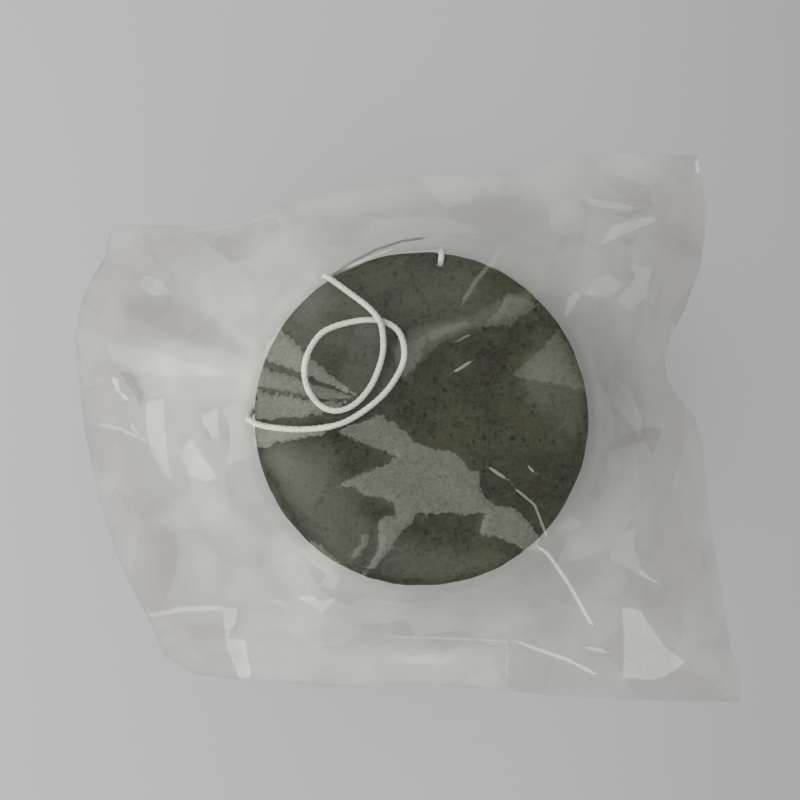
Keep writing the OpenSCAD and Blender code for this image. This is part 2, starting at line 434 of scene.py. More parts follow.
def makeTube(name, line, size, closed=False):
    # The stranded circle swept along the line: closed to a ring, or with a cap at each end
    grid, crown = strandedTube(line, size, closed)
    rows, sides = grid.shape[:2]
    points, depth = grid.reshape(-1, 3), crown.reshape(-1)
    faces = [gridFaces(rows, sides, closed)]
    if not closed:
        points = np.concatenate([points, line[:1], line[-1:]])
        depth = np.concatenate([depth, [0.9, 0.9]])
        faces += endCaps(rows, sides)
    return buildPiece(name, points, faces, twineFinish, {"crown": depth})


def knotLine():
    # Twice round and three times through: -(r + w cos 3a)(cos 2a, sin 2a), w sin 3a
    wind = (twine["diameter"] + knot["gap"]) / 2
    ringRadius = wind + twine["diameter"] / 2 + knot["gap"] / 2
    a = np.linspace(0, math.tau, 361)[:-1]
    out = -(ringRadius + wind * np.cos(3 * a))
    line = np.stack([out * np.cos(2 * a), out * np.sin(2 * a), wind * np.sin(3 * a)], axis=1)
    line[:, 2] += ballRadius + wind + twine["diameter"] / 2 + knot["clearance"]
    return outward(line)


def outward(line):
    # Turns +Z to the knot's direction from the ball's centre and moves it there
    tilt, yaw = math.radians(90 + knot["drop"]), math.radians(foam["holeAngle"])
    c, s = math.cos(tilt), math.sin(tilt)
    lean = np.array([[c, 0, s], [0, 1, 0], [-s, 0, c]])
    c, s = math.cos(yaw), math.sin(yaw)
    turn = np.array([[c, -s, 0], [s, c, 0], [0, 0, 1]])
    return line @ (turn @ lean).T + [0, 0, ballHeight] + foamPlace


cordLine = evenly(splinePoints(twine["route"], 24) + foamPlace, twine["spacing"])
hangingCord = makeTube("hangingCord", cordLine, twine["diameter"])
knotRing = evenly(knotLine(), twine["spacing"], True)
cordKnot = makeTube("cordKnot", knotRing, twine["diameter"], True)
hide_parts("hanging_cord")
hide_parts("cord_knot")
hole = math.radians(foam["holeAngle"])
print("twine made,", len(cordLine), "rings")


def foamProfile():
    # Half section from the foot's middle to the face's: foot, dome (r sin a, h - r cos a) on
    # the ball, rounded edge, flat face
    edgeHeight = foam["faceHeight"] - foam["edgeRadius"]
    edgeMiddle = math.sqrt((ballRadius - foam["edgeRadius"]) ** 2 - (ballHeight - edgeHeight) ** 2)
    foot = np.stack([np.linspace(0.4, foam["footRadius"] - 1, 30), np.zeros(30)], axis=1)
    low = math.asin((foam["footRadius"] + 0.5) / ballRadius)
    high = math.atan2(edgeMiddle, ballHeight - edgeHeight)
    a = np.linspace(low, high, 90)
    dome = np.stack([ballRadius * np.sin(a), ballHeight - ballRadius * np.cos(a)], axis=1)
    b = np.linspace(high - math.pi / 2, math.pi / 2, 20)
    bow = foam["edgeRadius"] * np.stack([np.cos(b), np.sin(b)], axis=1)
    edge = np.array([edgeMiddle, edgeHeight]) + bow
    face = np.linspace(edgeMiddle - 0.4, 0.4, 80)
    face = np.stack([face, np.full(80, foam["faceHeight"])], axis=1)
    line = evenly(np.concatenate([foot, dome, edge, face]), 0.05)
    return evenly(line, lengthSoFar(line)[-1] / (foam["rings"] - 1))


def pitted(points, spacing, seed, least, most):
    # Depth share of round pits, at most one in each cell of a lattice: 1 - (distance / size)^2
    stir = [softNoise(points, 1.1, seed + k) for k in (6, 7, 8)]
    points = points + 0.45 * np.stack(stir, axis=1)
    cell = np.floor(points / spacing).astype(np.int64)
    deepest = np.zeros(len(points))
    for corner in np.ndindex(3, 3, 3):
        near = cell + np.array(corner) - 1
        shift = np.stack([hashed(near, seed + k) for k in (1, 2, 3)], axis=1)
        middle = (near + 0.15 + 0.7 * shift) * spacing
        size = least + (most - least) * hashed(near, seed + 4) ** 3
        away = lengths(points - middle) / size
        deepest = np.maximum(deepest, np.clip(1 - away**2, 0, 1) * (size / most))
    return deepest


def makeFoam():
    # The profile turned round its axis, then moved along its normals by noise and pits
    profile = foamProfile()
    turn = math.tau * np.arange(foam["sides"]) / foam["sides"]
    radius, height = profile[:, 0], profile[:, 1]
    along = unit(np.gradient(profile, axis=0))
    ring = np.stack([np.cos(turn), np.sin(turn), np.zeros_like(turn)], axis=1)
    up = np.array([0, 0, 1])
    grid = radius[:, None, None] * ring[None] + up * height[:, None, None]
    normal = along[:, 1][:, None, None] * ring[None] - up * along[:, 0][:, None, None]
    points, normal = grid.reshape(-1, 3), normal.reshape(-1, 3)
    settled = np.repeat(ease(height / foam["settledHeight"]), foam["sides"])
    waves = softNoise(points, 9, 3) + 0.5 * softNoise(points, 3.1, 8)
    sway = foam["sway"] * (waves + 0.25 * softNoise(points, 1.3, 9))
    pit = foam["pitDepth"] * pitted(points, foam["pitSpacing"], 21, *foam["pitSizes"])
    moved = points + normal * ((sway - foam["sway"] - pit) * settled)[:, None]
    # The twine has pulled a valley from the hole out over the edge
    out, across = radialPlaces(moved)
    started = ease((out - foam["holeRadius"] + foam["valleyStart"]) / foam["valleyStart"])
    valley = np.exp(-((across / foam["valleyHalf"]) ** 4)) * started
    floor = foam["faceHeight"] - foam["notchDepth"] - 0.1
    moved[:, 2] -= valley * np.maximum(moved[:, 2] - floor, 0)
    rows, sides = foam["rings"], foam["sides"]
    poles = [[0, 0, 0], [0, 0, moved[-sides:, 2].mean()]]
    faces = [
        gridFaces(rows, sides),
        poleFaces(0, sides, rows * sides, True),
        poleFaces((rows - 1) * sides, sides, rows * sides + 1),
    ]
    points = np.concatenate([moved, poles]) + foamPlace
    pits = {"pit": np.concatenate([pit / foam["pitDepth"], [0, 0]])}
    piece = buildPiece("spongeFoam", points, faces, foamMaterial(), pits)
    cutHole(piece)
    return piece


def cutHole(piece):
    # Takes a round tube along the twine's first stretch out of the foam: up the hole, over
    # the edge and down the side
    stretch = cordLine[: int(foam["cutLength"] / twine["spacing"])]
    grid, _ = strandedTube(stretch[::2], foam["holeWidth"], False, 0)
    rows, sides = grid.shape[:2]
    points = np.concatenate([grid.reshape(-1, 3), stretch[:1], stretch[-1:]])
    faces = [gridFaces(rows, sides), *endCaps(rows, sides)]
    cutter = addObject("holeCutter", addMesh("holeCutter", points, faces))
    cut = piece.modifiers.new("hole", "BOOLEAN")
    cut.operation, cut.solver, cut.object = "DIFFERENCE", "EXACT", cutter
    applyModifiers(piece)
    bpy.data.objects.remove(cutter)


def radialPlaces(points):
    # Distance out from the axis towards the hole, and distance to the side of that line
    out = np.array([math.cos(hole), math.sin(hole)])
    return points[:, :2] @ out, points[:, :2] @ np.array([-out[1], out[0]])


def foamMaterial():
    # Damp plant-fibre foam: olive grey, mottled, with small pores of many sizes; painted shade
    # darkens the pores and the pits
    look = Look("konjacFoam")
    spot = look.place()
    cloud = look.noise(spot, 75, 4, 0.55)
    mottle = look.noise(spot, 420, 4, 0.6)
    grain = look.noise(spot, 1500, 3, 0.65)
    pores = 0
    for scale, reach, share, bent in foam["pores"]:
        away, number = look.cells(look.warped(spot, scale * 1.3, bent), scale)
        size = look.step(number, 1 - share, 1.0) * reach
        pores = look.math("MAXIMUM", pores, 1 - look.step(away, size * 0.3, size + 0.02))
    pit = look.step(look.attribute("pit"), 0.05, 0.6)
    tone = look.step(cloud * 0.55 + mottle * 0.45, 0.39, 0.61)
    ground = look.blend(tone, foam["darkTone"], foam["paleTone"])
    ground = look.blend(look.step(grain, 0.4, 0.66) * 0.45, ground, foam["fibreTone"])
    # painted shade in the pores and pits
    holeShade = look.math("MAXIMUM", pores * 0.85, pit * 0.7)
    colour = look.blend(holeShade, ground, foam["poreShadeTone"])
    normal = look.bump(grain * 0.45 + mottle * 0.6 - pores, 0.8, 0.0004)
    sheen = {"Sheen_Weight": 0.1, "Specular_IOR_Level": 0.22}
    return look.finish(look.matt(colour, 0.92, **sheen, Normal=normal))


spongeFoam = makeFoam()
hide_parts("sponge_body")
print("foam made,", len(spongeFoam.data.polygons), "faces")

# Bag of two clear films
film = {
    "width": 175,
    "length": 144,
    "thickness": 0.1,  # in the part
    "meshThickness": 0.06,  # as seen
    "weld": 4,
    "reach": 0.8,  # how far it stands off the foam's edge
    "twineReach": 2,  # and how much further where the twine bends over it
    "bendAngles": (124, 179),
    "bendWidth": 9,
    "sagPower": 1.5,
    "foldHeight": 5,
    "creaseHeight": 0.7,
    "veilHeight": 0.6,
    "wrinkleRoom": 42,  # length of the fall from which on its wrinkles are full size
    # Main folds down the fall: angle round the foam, width in degrees, height share
    "folds": [
        (12, 8, -0.4), (33, 5, 0.5), (47, 5, 0.8), (64, 5, 0.5), (98, 8, 0.4), (122, 6, 0.6),
        (140, 7, 0.5), (152, 6, -0.4), (166, 5, 1), (186, 6, 0.5), (204, 6, 0.6), (222, 5, 0.7),
        (240, 6, 0.4), (262, 8, 0.4), (288, 6, 0.5), (307, 4, 0.8), (322, 6, 0.7), (345, 7, 0.4),
    ],
    "columns": 480,
    "faceRings": 36,
    "fallRings": 58,
    "cling": 0.35,  # free space over the foam
    "twineCling": 0.25,
    "tentHeight": 24,  # twine lower than this lifts no film
    "tentReach": 4.5,
    "backHeight": 0.04,
    "backRings": (0.03, 0.3, 0.4, 0.48, 0.54, 0.6, 0.66, 0.72, 0.78, 0.84, 0.9, 0.95, 1),
    "hazeAndFillReach": 20,
    "frontHazeAndFillLight": 0.61,  # haze whitening round the foam that also paints light into the foam's shade, stronger on the side of the light
    "hazeAndFillSides": (0.62, 0.38),
    # painted light on the back film, where the foam shades the table round it
    "backFillLight": 0.3,
    "backFillLightRing": (15, 15),  # distance from the foam's edge, and half width
    "clear": (0.984, 0.982, 0.979),
    # colours of the haze and painted highlights, over the face and over the fall, then the colour
    # of painted shade
    "faceHazeAndHighlight": (0.83, 0.87, 0.73),
    "fallHazeAndHighlight": (0.86, 0.853, 0.85),
    "shade": (0.15, 0.105, 0.07),
    "glossRoughness": 0.17,
    "mirrorIndex": 1.16,
    "mostMirror": 0.15,
    "crumpled": [
        (505, 190), (600, 170), (655, 200), (655, 300), (600, 335), (560, 290), (510, 240),
    ],
    "outline": [
        (0.86, 0.04), (0.81, 0.11), (0.775, 0.18), (0.77, 0.26), (0.79, 0.34), (0.83, 0.43),
        (0.875, 0.58), (0.89, 0.7), (0.89, 0.82), (0.87, 0.99), (0.73, 1), (0.57, 1), (0.455, 0.98),
        (0.345, 0.935), (0.215, 0.915), (0.05, 0.92), (-0.115, 0.89), (-0.3, 0.845), (-0.49, 0.755),
        (-0.64, 0.73), (-0.835, 0.74), (-0.895, 0.72), (-0.91, 0.62), (-0.95, 0.54), (-0.98, 0.46),
        (-1, 0.33), (-0.985, 0.155), (-0.97, -0.01), (-0.935, -0.215), (-0.88, -0.445),
        (-0.835, -0.57), (-0.78, -0.695), (-0.73, -0.835), (-0.64, -0.9), (-0.5, -0.92),
        (-0.235, -0.945), (-0.025, -0.94), (0.215, -0.95), (0.455, -0.98), (0.65, -0.99),
        (0.875, -1), (0.995, -1), (1, -0.915), (0.965, -0.79), (0.95, -0.68), (0.925, -0.485),
        (0.9, -0.28), (0.885, -0.085),
    ],
}  # fmt: skip

# Creases: half width in pixels, height (a dent is below 0), whitening that is a painted highlight
# along the crease (below 0 a painted shadow), pixels along the line
creases = [
    (8, 0.65, 0, (75, 342), (120, 352), (190, 366), (250, 374)),
    (14, -0.7, 0, (120, 300), (160, 312), (210, 330)),
    (3, 0.23, 0, (118, 371), (134, 378), (146, 400), (148, 440), (168, 476)),
    (4, 0.2, 0, (187, 440), (200, 462), (217, 482)),
    (4, 0.35, 0, (232, 264), (250, 285), (255, 310), (255, 350)),
    (5, 0.35, 0, (248, 260), (270, 246), (290, 230), (318, 218)),
    (3, 0.12, 0, (296, 218), (360, 218)),
    (2.4, 0.23, 0.35, (464, 300), (478, 278), (492, 262), (502, 248)),
    (3, 0.28, 0, (496, 258), (508, 242), (524, 234), (544, 220), (566, 198)),
    (4, 0.33, 0, (655, 212), (654, 240), (652, 276), (622, 320)),
    (3, -0.2, 0, (600, 196), (644, 209), (612, 214)),
    (3, 0.23, 0, (592, 228), (622, 224), (654, 216)),
    (4, -0.25, 0, (566, 236), (580, 262), (556, 304)),
    (4, -0.25, 0, (660, 446), (650, 470)),
    (5, 0.25, 0, (620, 534), (634, 552), (642, 572)),
    (1.5, 0.12, 0.9, (641, 573), (655, 582)),
    (1.9, 0.3, 1.7, (541, 549), (548, 554), (566, 580), (578, 600), (590, 622)),
    (1.9, 0.2, 1, (520, 643), (540, 650), (566, 659), (592, 672)),
    (1.8, 0.07, 0.9, (590, 648), (604, 651)),
    (1.2, 0.1, 0.5, (390, 637), (440, 638), (504, 641)),
    (1, 0.07, 0.3, (507, 645), (507, 676)),
    (3, 0.2, 0, (138, 532), (139, 575), (146, 612)),
    (2.5, 0.23, 0.5, (152, 615), (184, 609), (222, 608)),
    (1.3, -0.1, -2, (334, 274), (352, 262), (375, 250), (402, 241), (424, 238)),
    (0.8, 0, 1, (348, 268), (365, 259), (392, 249)),
    (1.4, 0.07, 0.8, (517, 490), (535, 505), (546, 535)),
    (1.6, 0.05, 1, (490, 468), (505, 478)),
    (1.6, 0.05, 1, (456, 371), (470, 362)),
    (1.2, 0.05, 0.6, (459, 340), (469, 335)),
    (1.2, 0, 1.3, (530, 468), (533, 471)),
]  # fmt: skip

# Sharp edged places that look whiter, partly the film's milky haze where it stands off the foam and
# partly painted reflection and highlight, with painted shade below 0: amount (below 0 darker),
# pixels of the edge
hazeAndPaintedLightVeils = [
    (0.85, (340, 430), (380, 415), (400, 427), (415, 442), (437, 450), (455, 452), (470, 470),
     (480, 472), (480, 490), (490, 502), (520, 512), (532, 525), (540, 540), (540, 552), (527, 550),
     (495, 535), (482, 537), (480, 527), (485, 512), (465, 515), (447, 512), (427, 515), (422, 510),
     (415, 515), (410, 525), (402, 530), (390, 550), (375, 567), (362, 577), (377, 552), (380, 540),
     (377, 522), (385, 517), (400, 515), (392, 502), (380, 497), (365, 497), (355, 487), (337, 487),
     (347, 480), (365, 472), (385, 465), (397, 457), (380, 450), (360, 442), (340, 432)),
    (0.4, (540, 350), (550, 340), (557, 330), (580, 360), (587, 390), (562, 385), (540, 382),
     (520, 377), (512, 375), (525, 362)),
    (0.4, (507, 292), (540, 305), (527, 312), (510, 325), (482, 327), (495, 315), (502, 307)),
    (0.45, (427, 333), (445, 326), (470, 321), (468, 326), (446, 334), (430, 342)),
    (0.35, (425, 337), (422, 355), (415, 370), (400, 380), (405, 360), (405, 342)),
    (1.15, (281, 328), (302, 350), (332, 376), (358, 396), (336, 387), (302, 373), (262, 358),
     (268, 342)),
    (0.95, (260, 367), (300, 379), (340, 393), (356, 398), (324, 399), (258, 386)),
    (1.1, (257, 391), (320, 402), (352, 401), (330, 411), (300, 417), (254, 420)),
    (1.6, (253, 424), (300, 428), (340, 423), (326, 433), (296, 440), (280, 442), (262, 448),
     (254, 446)),
    (0.7, (312, 540), (340, 562), (330, 570), (306, 552)),
    (0.6, (362, 534), (370, 534), (368, 545), (356, 560), (350, 556), (360, 545)),
    (1, (110, 376), (118, 378), (120, 392), (130, 398), (126, 402), (116, 392)),
    (0.9, (126, 412), (133, 424), (140, 436), (132, 430)),
    (0.8, (94, 421), (120, 427), (146, 439), (146, 443), (119, 431), (94, 424)),
    (0.9, (600, 246), (612, 226), (640, 218), (656, 216), (654, 222), (624, 234)),
    (0.7, (580, 194), (598, 200), (618, 202), (644, 210), (620, 210), (592, 206)),
    (0.6, (630, 264), (652, 268), (646, 296), (630, 312), (616, 300), (636, 278)),
    (0.6, (592, 280), (608, 274), (624, 286), (608, 298), (584, 294)),
    (0.9, (562, 318), (568, 298), (578, 290), (580, 295), (570, 314)),
    (0.44, (140, 281), (146, 275), (160, 281), (172, 293), (154, 296), (142, 290)),
    (0.55, (146, 402), (164, 398), (165, 430), (169, 466), (172, 478), (166, 476), (150, 450),
     (146, 424)),
    (0.6, (190, 438), (198, 450), (218, 478), (208, 482), (190, 476), (180, 454)),
    (0.72, (200, 418), (218, 406), (219, 436), (213, 440)),
    (0.45, (232, 404), (255, 412), (254, 454), (226, 466), (230, 448), (230, 426), (222, 410)),
    (-0.7, (118, 370), (134, 374), (144, 394), (142, 408), (134, 394)),
    (1.65, (694, 156), (702, 162), (700, 179), (696, 172)),
    (0.66, (620, 534), (634, 528), (634, 546), (641, 568), (654, 581), (644, 578), (632, 570),
     (609, 560), (612, 548)),
    (0.5, (568, 515), (582, 522), (574, 530), (552, 532)),
    (1, (622, 606), (640, 610), (654, 632), (666, 648), (686, 662), (666, 676), (652, 680),
     (623, 678), (624, 640)),
    (0.9, (222, 609), (237, 607), (236, 620), (228, 638), (245, 640), (252, 677), (240, 680),
     (226, 646)),
    (0.66, (300, 552), (312, 548), (340, 575), (335, 590), (317, 585), (327, 575)),
    (0.99, (295, 597), (312, 595), (320, 602), (337, 597), (322, 614), (312, 605)),
    (0.5, (268, 600), (282, 600), (292, 609), (278, 606)),
    (0.5, (400, 657), (435, 654), (442, 660), (470, 647), (444, 664), (402, 663)),
    (-0.36, (194, 234), (240, 226), (276, 216), (282, 227), (260, 247), (246, 261), (232, 264),
     (212, 248)),
    (-0.3, (602, 174), (620, 176), (650, 187), (652, 208), (628, 200), (608, 186)),
    (-0.3, (608, 213), (646, 209), (630, 218)),
    (-0.3, (618, 241), (638, 236), (632, 247)),
    (-0.5, (608, 452), (620, 437), (646, 427), (662, 429), (652, 460), (645, 440), (628, 446)),
]  # fmt: skip

# Soft edged places of painted highlight (amount above 0, in part also the film's haze) and painted
# shade (below 0): amount, softness of the edge in pixels, pixels of the edge
paintedLightAndShadePatches = [
    (0.8, 14, (70, 330), (150, 340), (262, 362), (256, 384), (150, 376), (84, 358)),
    (1.3, 7, (108, 344), (146, 346), (188, 362), (230, 374), (188, 377), (136, 370), (112, 362)),
    (0.3, 12, (98, 298), (120, 310), (158, 334), (222, 350), (180, 356), (100, 330)),
    (-1.3, 16, (126, 297), (172, 298), (198, 310), (226, 334), (242, 352), (204, 348), (160, 331),
     (128, 314)),
    (0.4, 12, (200, 270), (236, 266), (254, 294), (255, 346), (226, 330), (200, 305)),
    (0.45, 8, (246, 262), (272, 246), (290, 230), (320, 217), (330, 238), (290, 254), (258, 270)),
    (-0.5, 12, (262, 276), (300, 262), (300, 280), (272, 306)),
    (-1.3, 24, (200, 400), (256, 400), (262, 460), (300, 540), (250, 530), (206, 480)),
    (-0.7, 24, (150, 530), (240, 530), (300, 590), (280, 640), (160, 630)),
    (0.45, 5, (150, 250), (200, 234), (232, 265), (250, 286), (255, 310), (255, 352), (226, 332),
     (190, 284)),
    (-0.5, 6, (257, 284), (276, 300), (264, 350), (257, 352)),
    (0.4, 9, (300, 206), (420, 186), (500, 178), (500, 196), (400, 206), (330, 222)),
    (-0.5, 10, (84, 424), (140, 432), (166, 468), (176, 500), (150, 520), (112, 510)),
    (0.45, 8, (104, 448), (121, 446), (124, 492), (106, 488)),
    (-0.6, 8, (164, 410), (200, 422), (212, 438), (188, 440), (180, 452), (166, 430)),
    (-0.6, 7, (218, 416), (230, 430), (228, 456), (220, 466), (208, 456), (198, 442)),
    (0.45, 12, (170, 384), (256, 384), (256, 404), (200, 410), (166, 398)),
    (0.45, 8, (157, 520), (187, 495), (250, 495), (250, 528), (170, 530)),
    (-0.25, 8, (140, 532), (240, 532), (240, 574), (200, 600), (150, 614)),
    (0.7, 8, (150, 617), (182, 606), (222, 606), (222, 620), (180, 624), (154, 632)),
    (-0.2, 8, (160, 628), (218, 624), (222, 650), (176, 656)),
    (0.75, 10, (244, 610), (300, 618), (310, 645), (340, 655), (440, 650), (505, 644), (505, 684),
     (240, 684)),
    (-0.5, 6, (305, 626), (345, 628), (372, 640), (322, 652)),
    (-0.3, 7, (510, 645), (610, 650), (615, 690), (512, 690)),
    (-0.4, 8, (628, 596), (670, 584), (684, 616), (684, 642), (656, 622)),
    (0.45, 8, (490, 266), (506, 244), (544, 220), (566, 198), (600, 194), (575, 208), (548, 254),
     (544, 296), (526, 284)),
    (-0.6, 8, (566, 234), (586, 228), (580, 260), (568, 290), (556, 308), (544, 296), (548, 260)),
    (0.5, 10, (592, 205), (656, 214), (652, 270), (622, 316), (608, 300), (580, 294), (586, 244)),
    (-0.3, 14, (658, 190), (704, 190), (704, 290), (670, 360), (640, 340), (656, 300)),
    (-0.5, 12, (580, 296), (608, 296), (620, 330), (622, 380), (626, 402), (610, 440), (592, 420),
     (588, 380)),
    (0.4, 10, (608, 460), (640, 446), (650, 490), (656, 520), (632, 540), (606, 550)),
    (-0.25, 12, (574, 500), (600, 470), (606, 540), (590, 570)),
    (-0.4, 10, (400, 588), (520, 582), (560, 600), (520, 616), (380, 618)),
    (-0.5, 12, (716, 632), (738, 632), (738, 652), (716, 652)),
    (0.6, 40, (256, 370), (290, 290), (330, 290), (300, 420), (290, 470), (256, 460)),
    (0.35, 40, (258, 460), (320, 450), (340, 560), (290, 520)),
    (0.35, 50, (300, 300), (360, 265), (470, 255), (500, 310), (400, 330), (330, 350)),
    (0.2, 50, (300, 320), (380, 320), (390, 410), (310, 410)),
    (0.5, 30, (260, 460), (330, 450), (370, 530), (420, 545), (510, 560), (440, 586), (350, 570)),
    (-0.9, 60, (600, 200), (720, 160), (730, 640), (610, 600)),
    (-0.2, 60, (80, 430), (140, 430), (150, 680), (110, 640)),
    (-1.7, 34, (290, 220), (420, 186), (520, 192), (570, 226), (540, 262), (470, 240), (400, 240),
     (320, 268)),
    (-1.3, 34, (560, 300), (612, 320), (640, 360), (646, 430), (630, 480), (580, 520), (590, 400)),
    (-1.8, 34, (300, 570), (400, 590), (480, 586), (560, 546), (600, 570), (560, 640), (440, 650),
     (330, 636)),
    (-0.9, 40, (560, 200), (690, 180), (700, 300), (620, 320), (570, 260)),
    (-1.3, 40, (90, 240), (250, 230), (250, 330), (90, 380)),
    (-0.7, 40, (120, 500), (250, 480), (300, 610), (160, 640)),
    (0.7, 7, (392, 350), (412, 330), (470, 316), (500, 300), (540, 286), (520, 312), (480, 326),
     (440, 342), (404, 378)),
    (0.5, 24, (540, 330), (590, 390), (600, 440), (560, 430), (520, 390)),
]  # fmt: skip


def closedLine(points, steps):
    # Straight runs between the outline's points, each cut into equal steps
    points = np.asarray(points, float)
    t = (np.arange(steps) / steps)[None, :, None]
    return (points[:, None] * (1 - t) + np.roll(points, -1, axis=0)[:, None] * t).reshape(-1, 2)


def segmentDistance(points, line):
    # Least distance to the line's segments: |p - a - clamp((p - a).d / d.d) d|
    line, least = np.array(line, float), np.full(len(points), 1e9)
    for a, b in zip(line[:-1], line[1:]):
        d = b - a
        t = np.clip((points - a) @ d / (d @ d), 0, 1)
        least = np.minimum(least, lengths(points - a - t[:, None] * d))
    return least


def nearestCrease(points):
    # Signed distance to the nearest crease, above 0 on its left, and that crease's number
    least, side = np.full(len(points), 1e9), np.zeros(len(points))
    which = np.zeros(len(points), int)
    for number, (_, _, _, *line) in enumerate(creases):
        line = np.array(line, float)
        for a, b in zip(line[:-1], line[1:]):
            d, p = b - a, points - a
            away = lengths(p - np.clip(p @ d / (d @ d), 0, 1)[:, None] * d)
            nearer = away < least
            least = np.where(nearer, away, least)
            side = np.where(nearer, np.where(d[0] * p[:, 1] > d[1] * p[:, 0], away, -away), side)
            which = np.where(nearer, number, which)
    return side, which


def insideShare(points, ring):
    # Signed distance to a closed ring: above 0 inside, where a ray crosses the edge an odd
    # number of times
    ring, odd = np.array(ring, float), np.zeros(len(points), bool)
    for a, b in zip(ring, np.roll(ring, -1, axis=0)):
        crosses = (a[1] > points[:, 1]) != (b[1] > points[:, 1])
        at = a[0] + (points[:, 1] - a[1]) / (b[1] - a[1] if b[1] != a[1] else 1) * (b[0] - a[0])
        odd ^= crosses & (points[:, 0] < at)
    away = segmentDistance(points, np.concatenate([ring, ring[:1]]))
    return np.where(odd, away, -away)


half = np.array([film["width"], film["length"]]) / 2
outline = evenly(closedLine(np.array(film["outline"]) * half, 4), 0.5, True)
outline = outline[np.linspace(0, len(outline), film["columns"], endpoint=False).astype(int)]


def filmGrid():
    # Rays from over the foam's middle to the outline; beyond the face the radius is
    # (r - 1) (1 - t) + length t, with rings closer near the edge of the face
    middle = foamPlace[:2]
    reach = outline - middle
    length = lengths(reach)
    away = reach / length[:, None]
    face = np.linspace(1.2, foam["radius"] - 1.5, film["faceRings"])
    t = np.linspace(0, 1, film["fallRings"]) ** 1.25
    fall = (foam["radius"] - 1) * (1 - t)[:, None] + length[None, :] * t[:, None]
    radius = np.concatenate([np.broadcast_to(face[:, None], (len(face), len(length))), fall])
    return middle + away[None] * radius[:, :, None], radius, length, away


def facets(spots, size, seed):
    # Flat triangles, -1 to 1: hashed heights at the corners of a triangle lattice, blended by
    # barycentric shares
    y = spots[:, 1] / size * 2 / math.sqrt(3)
    x = spots[:, 0] / size - y / 2
    i, j = np.floor(x).astype(np.int64), np.floor(y).astype(np.int64)
    s, t = x - i, y - j
    over = s + t > 1
    corner = lambda a, b: hashed(np.stack([i + a, j + b, i * 0], axis=1), seed)
    lower = corner(0, 0) * (1 - s - t) + corner(1, 0) * s + corner(0, 1) * t
    upper = corner(1, 1) * (s + t - 1) + corner(1, 0) * (1 - t) + corner(0, 1) * (1 - s)
    return np.where(over, upper, lower) * 2 - 1


def wrinkles(spots, radius, away, share):
    # (broad + folds / 2 + small) s (1 - s)^2: facets of two sizes on warped places, and folds
    # that run outwards from the foam's rim; the small ones are strongest in the crumpled place
    turn = np.broadcast_to(np.arctan2(away[:, 1], away[:, 0]), radius.shape).reshape(-1)
    flat = np.column_stack([spots, np.zeros(len(spots))])
    warp = np.stack([softNoise(flat, 22, 31), softNoise(flat, 22, 32)], axis=1) * 7
    rays = np.stack([turn * 42, radius.reshape(-1) * 0.3], axis=1)
    folds = facets(rays + warp, 21, 45)
    broad, small = facets(spots + warp, 19, 46), facets(spots + warp * 0.6, 8, 47)
    between = share * (1 - share) ** 2 * 6.75
    crumple = ease(insideShare(spots, photoPoints(film["crumpled"], 14)) / 8 + 0.5)
    return (broad + 0.5 * folds + (0.1 + 0.35 * crumple) * small) * between


def humps(turn, rows):
    # exp(-(angle / width)^2) round each row's angle, times its share, in one column per row
    angle, width, share = np.array(rows, float).T
    off = np.abs((turn[..., None] - angle + 180) % 360 - 180)
    return np.exp(-((off / width) ** 2)) * share


def twineTents(spots, top, beyond):
    # Over each point of the twine the film lies on its crown and falls by
    # (crown - top) (1 - exp(-distance / reach)), and more steeply beyond the foam's edge
    lifted = np.zeros(len(spots))
    for point in cordLine[::4]:
        if point[2] > film["tentHeight"]:
            crown = point[2] + twine["diameter"] / 2 + film["twineCling"]
            off = np.maximum(lengths(spots - point[:2]) - twine["diameter"] / 2, 0)
            drop = max(crown - top, 0) * (1 - np.exp(-off / film["tentReach"]))
            lifted = np.maximum(lifted, crown - drop - beyond * 3 * np.maximum(off - 1, 0))
    return lifted


def veilPlaces(seen):
    # Signed distance to the edge of the deepest veil, that veil's amount, and the sum of the
    # painted light and shade patches
    veil, hazeAndPaintedLight, paintedLightAndShade = np.full(len(seen), -15.0), *np.zeros((2, len(seen)))
    for amount, *edge in hazeAndPaintedLightVeils:
        inside = insideShare(seen, edge)
        hazeAndPaintedLight = np.where(inside > veil, amount, hazeAndPaintedLight)
        veil = np.maximum(veil, inside)
    for amount, soft, *edge in paintedLightAndShadePatches:
        paintedLightAndShade += amount * ease(insideShare(seen, edge) / soft + 0.5)
    return veil, hazeAndPaintedLight, paintedLightAndShade


